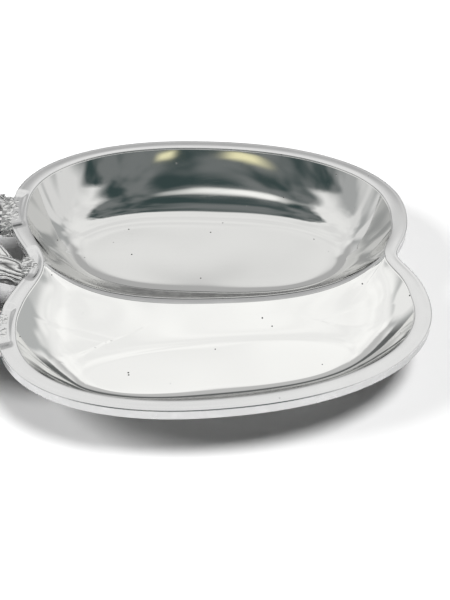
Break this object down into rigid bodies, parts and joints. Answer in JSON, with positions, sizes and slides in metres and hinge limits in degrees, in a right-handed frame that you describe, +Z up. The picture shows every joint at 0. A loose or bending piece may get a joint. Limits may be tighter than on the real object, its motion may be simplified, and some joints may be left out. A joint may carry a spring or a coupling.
{
  "type": "divided serving dish",
  "caption": "Double-lobed divided serving dish in bright cast metal, with a flat rim, a low dipped divider, foot rings and an openwork bark-textured twig handle.",
  "frame": {"origin": "bottom centre of the whole dish, handle included, on the table", "axes": "+Z up, +X away from the handle along the lobes, +Y towards the deep bowl"},
  "size_m": [0.2516, 0.1838, 0.033],
  "materials": {
    "rim_polish": "bright polish with fine wear scratches",
    "bowl_polish": "near-mirror polish with small casting pits",
    "foot_satin": "satin, as ground flat",
    "seat_cast": "pebbled casting, darkened in the pits",
    "bark_cast": "polished bark relief, darkened in the grooves"
  },
  "bodies": {
    "root": {"rim_band": "rim_polish", "divider": "rim_polish", "rear_bowl": "bowl_polish", "front_bowl": "bowl_polish", "rear_foot_ring": "foot_satin", "front_foot_ring": "foot_satin", "rear_seat": "seat_cast", "middle_seat": "seat_cast", "front_seat": "seat_cast", "rear_branch": "bark_cast", "middle_branch": "bark_cast", "front_branch": "bark_cast", "fork_twig": "bark_cast", "grip": "bark_cast"}
  },
  "joints": []
}
